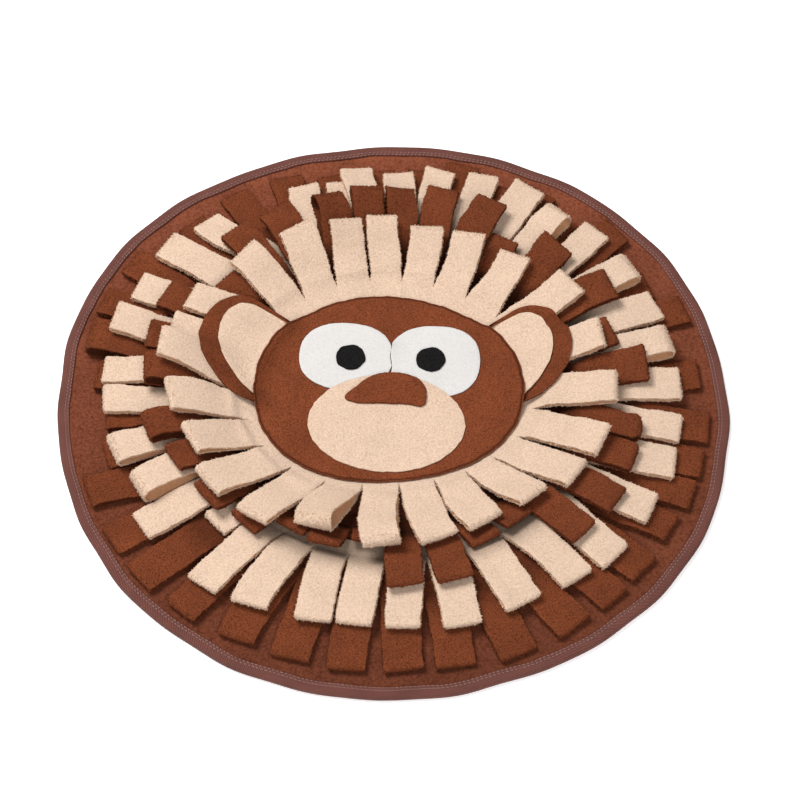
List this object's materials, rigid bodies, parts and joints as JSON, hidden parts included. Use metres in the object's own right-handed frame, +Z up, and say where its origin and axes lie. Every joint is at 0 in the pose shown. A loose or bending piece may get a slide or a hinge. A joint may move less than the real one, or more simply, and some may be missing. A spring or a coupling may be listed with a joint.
{
  "type": "snuffle mat",
  "caption": "Round snuffle mat: bound cloth base, four rings of folded fleece strips and a raised animal face with two ears.",
  "frame": {"origin": "middle of the mat's underside, on the surface it lies on", "axes": "+Z up through the thickness of the mat; the face's chin points to -Y and its forehead to +Y"},
  "size_m": [0.4984, 0.496, 0.0475],
  "materials": {
    "brown_fleece": "brushed fleece, brown",
    "cream_fleece": "brushed fleece, cream",
    "base_felt": "brushed cloth, dark brown",
    "white_felt": "felt, white",
    "black_felt": "felt, black",
    "binding_tape": "woven tape, maroon brown"
  },
  "bodies": {
    "root": {"base_cloth": "base_felt", "binding_tape": "binding_tape", "fringe_outer_brown": "brown_fleece", "fringe_second_cream": "cream_fleece", "fringe_third_brown": "brown_fleece", "fringe_inner_cream": "cream_fleece", "left_ear": "brown_fleece", "left_inner_ear": "cream_fleece", "right_ear": "brown_fleece", "right_inner_ear": "cream_fleece", "face": "brown_fleece", "left_eye": "white_felt", "right_eye": "white_felt", "left_pupil": "black_felt", "right_pupil": "black_felt", "muzzle": "cream_fleece", "nose": "brown_fleece"}
  },
  "joints": []
}
